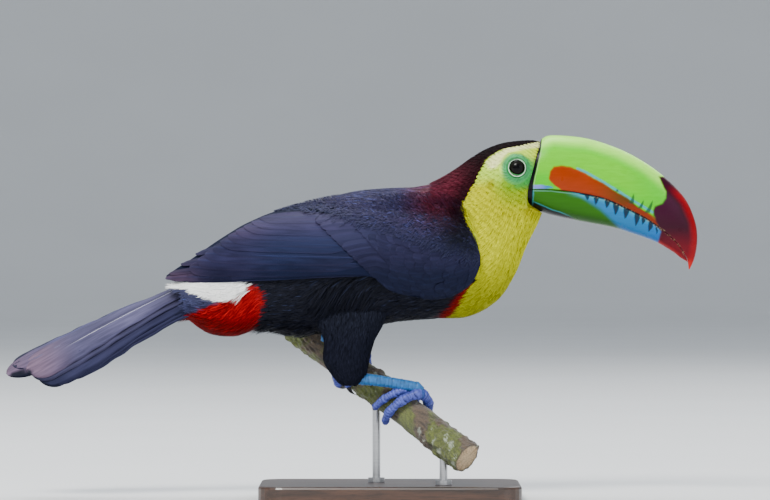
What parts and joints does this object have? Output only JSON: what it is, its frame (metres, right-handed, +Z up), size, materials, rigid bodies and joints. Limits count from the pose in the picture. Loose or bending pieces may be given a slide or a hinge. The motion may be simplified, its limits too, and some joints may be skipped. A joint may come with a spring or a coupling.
{
  "type": "keel-billed toucan display model",
  "caption": "Life-size keel-billed toucan in profile, gripping a short cut branch, with its big bill lowered and tail slanting down, held by a flat display stand.",
  "frame": {"origin": "centre of the stand base's flat underside", "axes": "+X the way the bird faces (bill), +Y the bird's left side, +Z up"},
  "size_m": [0.4579, 0.112, 0.2389],
  "materials": {
    "black_plumage": "painted plumage, satin",
    "yellow_plumage": "painted plumage, matte",
    "bill_green": "smooth horn, semi-gloss",
    "eye_dark": "polished",
    "leg_blue": "scaled skin, satin",
    "claw_grey": "smooth horn",
    "bark": "rough bark",
    "stand_wood": "satin lacquer",
    "stand_steel": "brushed"
  },
  "bodies": {
    "root": {"bill_lower": "bill_green", "bill_upper": "bill_green", "claw_left_1": "claw_grey", "claw_left_2": "claw_grey", "claw_left_3": "claw_grey", "claw_left_4": "claw_grey", "claw_right_1": "claw_grey", "claw_right_2": "claw_grey", "claw_right_3": "claw_grey", "claw_right_4": "claw_grey", "eye_left": "eye_dark", "eye_right": "eye_dark", "foot_left": "leg_blue", "foot_right": "leg_blue", "head": "yellow_plumage", "neck": "yellow_plumage", "perch_branch": "bark", "shank_left": "leg_blue", "shank_right": "leg_blue", "stand_base": "stand_wood", "stand_collar_1": "stand_steel", "stand_collar_2": "stand_steel", "stand_rod_1": "stand_steel", "stand_rod_2": "stand_steel", "tail": "black_plumage", "thigh_left": "black_plumage", "thigh_right": "black_plumage", "trunk": "black_plumage", "wing_left": "black_plumage", "wing_right": "black_plumage"}
  },
  "joints": []
}
